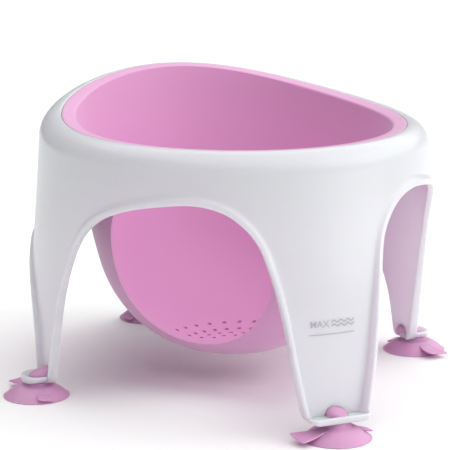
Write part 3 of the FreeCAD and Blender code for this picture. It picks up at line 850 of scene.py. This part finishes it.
def ribbon(line, width):
    """Closed flat ribbon along an (x, z) line."""
    line = np.asarray(line, float)
    along = np.gradient(line, axis=0)
    along /= np.linalg.norm(along, axis=1, keepdims=True)
    side = np.stack([-along[:, 1], along[:, 0]], axis=1) * width / 2
    low, high = on_front_leg(line - side, PRINT_PROUD), on_front_leg(line + side, PRINT_PROUD)
    return np.stack([low, high]), grid_faces(2, len(line))


def make_level_mark(material, centre_x, centre_z):
    """Generic fill mark: the word MAX, two waves and a line."""
    line_x = np.linspace(centre_x - MARK_HALF, centre_x + MARK_HALF, 40)
    parts = [ribbon(np.stack([line_x, np.full(len(line_x), centre_z - LINE_DROP)], axis=1), LINE_WIDTH)]
    wave_x = np.linspace(centre_x + WAVE_START, centre_x + MARK_HALF, 80)
    wave = WAVE_RISE * np.sin((wave_x - centre_x) * 2 * math.pi / WAVE_LENGTH)
    for height in WAVE_HEIGHTS:
        parts.append(ribbon(np.stack([wave_x, centre_z + height + wave], axis=1), WAVE_WIDTH))
    marks = make_mesh("level_lines", *joined(parts))
    finish_piece(marks, material)
    curve = bpy.data.curves.new("level_word", "FONT")
    curve.body = "MAX"
    curve.size = WORD_SIZE
    curve.offset = WORD_BOLD
    curve.align_x = "RIGHT"
    curve.align_y = "CENTER"
    flat = bpy.data.objects.new("level_word_flat", curve)
    bpy.context.scene.collection.objects.link(flat)
    bpy.context.view_layer.update()
    word = bpy.data.meshes.new_from_object(flat.evaluated_get(bpy.context.evaluated_depsgraph_get()))
    bpy.data.objects.remove(flat)
    place = np.zeros(len(word.vertices) * 3)
    word.vertices.foreach_get("co", place)
    place = place.reshape(-1, 3)
    points = np.stack([centre_x + WORD_END + place[:, 0], centre_z + place[:, 1]], axis=1)
    word.vertices.foreach_set("co", (on_front_leg(points, PRINT_PROUD) * MM).ravel())
    word.update()
    piece = bpy.data.objects.new("level_word", word)
    bpy.context.scene.collection.objects.link(piece)
    finish_piece(piece, material)


# Stage

def area_light(name, place, size, power):
    """Soft rectangular light aimed at the seat's middle."""
    data = bpy.data.lights.new(name, "AREA")
    data.shape = "RECTANGLE"
    data.size, data.size_y = size
    data.energy = power
    light = bpy.data.objects.new(name, data)
    light.location = place
    light.rotation_euler = (Vector(AIM) - Vector(place)).to_track_quat("-Z", "Y").to_euler()
    bpy.context.scene.collection.objects.link(light)


def soft_ceiling(strength):
    """Very wide sun, tilted and as soft as a lit ceiling, that keeps the floor white."""
    data = bpy.data.lights.new("soft_ceiling", "SUN")
    data.angle = math.radians(CEILING_SPREAD)
    data.energy = strength
    light = bpy.data.objects.new("soft_ceiling", data)
    light.rotation_euler = (math.radians(CEILING_TILT[0]), math.radians(CEILING_TILT[1]), 0)
    bpy.context.scene.collection.objects.link(light)


def make_floor(colour):
    """Pale studio floor."""
    corners = np.array([[-1, -1, 0], [1, -1, 0], [1, 1, 0], [-1, 1, 0]]) * FLOOR_HALF / MM
    floor = make_mesh("studio_floor", corners, [[0, 1, 2, 3]])
    material, _, shader = new_material("pale_floor", colour, 0.6)
    shader.inputs["Specular IOR Level"].default_value = 0.0
    floor.data.materials.append(material)


def make_camera():
    """Camera at the photograph's viewing angle."""
    data = bpy.data.cameras.new("photo_camera")
    data.sensor_width = 36.0
    data.lens = CAMERA_LENS
    data.shift_x, data.shift_y = CAMERA_SHIFT
    data.clip_end = 50.0
    camera = bpy.data.objects.new("photo_camera", data)
    camera.location = CAMERA_PLACE
    camera.rotation_euler = (math.radians(90 - CAMERA_DOWN), 0, math.radians(CAMERA_TURN))
    bpy.context.scene.collection.objects.link(camera)
    bpy.context.scene.camera = camera


def make_world(strength):
    """Even white surroundings."""
    world = bpy.data.worlds.new("studio")
    world.use_nodes = True
    background = world.node_tree.nodes["Background"]
    background.inputs["Color"].default_value = (1.0, 1.0, 1.0, 1.0)
    background.inputs["Strength"].default_value = strength
    bpy.context.scene.world = world


# Settings, operators and panel

class BATHSEAT_PG_colours(bpy.types.PropertyGroup):
    """Colours of the plastics and the print."""
    shell: bpy.props.FloatVectorProperty(
        name="Shell", description="White of the outer shell", subtype="COLOR", size=3, min=0, max=1,
        default=(0.65, 0.67, 0.7))
    seat: bpy.props.FloatVectorProperty(
        name="Seat", description="Pink of the seat bucket", subtype="COLOR", size=3, min=0, max=1,
        default=(0.725, 0.34, 0.6))
    cup: bpy.props.FloatVectorProperty(
        name="Cups", description="Pink of the suction cups", subtype="COLOR", size=3, min=0, max=1,
        default=(0.66, 0.335, 0.56))
    level_print: bpy.props.FloatVectorProperty(
        name="Print", description="Grey of the level mark", subtype="COLOR", size=3, min=0, max=1,
        default=(0.42, 0.43, 0.47))
    floor: bpy.props.FloatVectorProperty(
        name="Floor", description="Pale floor", subtype="COLOR", size=3, min=0, max=1,
        default=(0.97, 0.97, 0.97))


class BATHSEAT_PG_sizes(bpy.types.PropertyGroup):
    """Place of the level mark and strengths of the lights."""
    mark_x: bpy.props.FloatProperty(
        name="Mark across", description="Middle of the level mark in millimetres from the leg's middle",
        default=-1.1)
    mark_z: bpy.props.FloatProperty(
        name="Mark height", description="Height of the level mark's word in millimetres", default=76.7)
    world: bpy.props.FloatProperty(
        name="Surroundings", description="Strength of the white surroundings", default=0.22, min=0)
    ceiling: bpy.props.FloatProperty(
        name="Ceiling", description="Strength of the wide soft light from above", default=3.1, min=0)
    key: bpy.props.FloatProperty(
        name="Key", description="Power of the soft light from the right", default=8.0, min=0, unit="POWER")
    strip: bpy.props.FloatProperty(
        name="Strip", description="Power of the slim light from the left", default=0.25, min=0, unit="POWER")


class BATHSEAT_OT_shell(bpy.types.Operator):
    """Build the white shell and its foot trays."""
    bl_idname = "bathseat.shell"
    bl_label = "Shell"

    def execute(self, context):
        make_shell(glossy_white(context.scene.bathseat_colours.shell))
        return {"FINISHED"}


class BATHSEAT_OT_seat(bpy.types.Operator):
    """Build the pink seat bucket."""
    bl_idname = "bathseat.seat"
    bl_label = "Seat bucket"

    def execute(self, context):
        make_seat(satin_pink(context.scene.bathseat_colours.seat))
        return {"FINISHED"}


class BATHSEAT_OT_cups(bpy.types.Operator):
    """Build the four suction cups."""
    bl_idname = "bathseat.cups"
    bl_label = "Suction cups"

    def execute(self, context):
        make_cups(rubber_pink(context.scene.bathseat_colours.cup))
        return {"FINISHED"}


class BATHSEAT_OT_level_mark(bpy.types.Operator):
    """Print the fill mark on the front leg."""
    bl_idname = "bathseat.level_mark"
    bl_label = "Level mark"

    def execute(self, context):
        sizes = context.scene.bathseat_sizes
        material = printed_grey(context.scene.bathseat_colours.level_print)
        make_level_mark(material, sizes.mark_x, sizes.mark_z)
        return {"FINISHED"}


class BATHSEAT_OT_stage(bpy.types.Operator):
    """Set the floor, lights and camera."""
    bl_idname = "bathseat.stage"
    bl_label = "Stage"

    def execute(self, context):
        sizes = context.scene.bathseat_sizes
        context.scene.view_settings.view_transform = "Standard"
        make_floor(context.scene.bathseat_colours.floor)
        make_world(sizes.world)
        soft_ceiling(sizes.ceiling)
        area_light("key_right", KEY_PLACE, KEY_SIZE, sizes.key)
        area_light("strip_left", STRIP_PLACE, STRIP_SIZE, sizes.strip)
        make_camera()
        return {"FINISHED"}


class BATHSEAT_PT_panel(bpy.types.Panel):
    """Sidebar panel with the bath seat's pieces and settings."""
    bl_label = "Bath seat"
    bl_idname = "BATHSEAT_PT_panel"
    bl_space_type = "VIEW_3D"
    bl_region_type = "UI"
    bl_category = "Bath seat"

    def draw(self, context):
        for name in ("shell", "seat", "cup", "level_print", "floor"):
            self.layout.prop(context.scene.bathseat_colours, name)
        for name in ("mark_x", "mark_z", "world", "ceiling", "key", "strip"):
            self.layout.prop(context.scene.bathseat_sizes, name)
        for operator in ("shell", "seat", "cups", "level_mark", "stage"):
            self.layout.operator("bathseat." + operator)


CLASSES = (BATHSEAT_PG_colours, BATHSEAT_PG_sizes, BATHSEAT_OT_shell, BATHSEAT_OT_seat, BATHSEAT_OT_cups,
           BATHSEAT_OT_level_mark, BATHSEAT_OT_stage, BATHSEAT_PT_panel)


def register():
    """Registers the classes and hangs their settings on the scene."""
    for item in CLASSES:
        bpy.utils.register_class(item)
    bpy.types.Scene.bathseat_colours = bpy.props.PointerProperty(type=BATHSEAT_PG_colours)
    bpy.types.Scene.bathseat_sizes = bpy.props.PointerProperty(type=BATHSEAT_PG_sizes)


def unregister():
    """Takes the settings and classes away again."""
    del bpy.types.Scene.bathseat_colours
    del bpy.types.Scene.bathseat_sizes
    for item in reversed(CLASSES):
        bpy.utils.unregister_class(item)


def main():
    """Builds every piece and the stage."""
    register()
    bpy.ops.bathseat.shell()
    bpy.ops.bathseat.seat()
    bpy.ops.bathseat.cups()
    bpy.ops.bathseat.level_mark()
    bpy.ops.bathseat.stage()


if __name__ == "__main__":
    main()
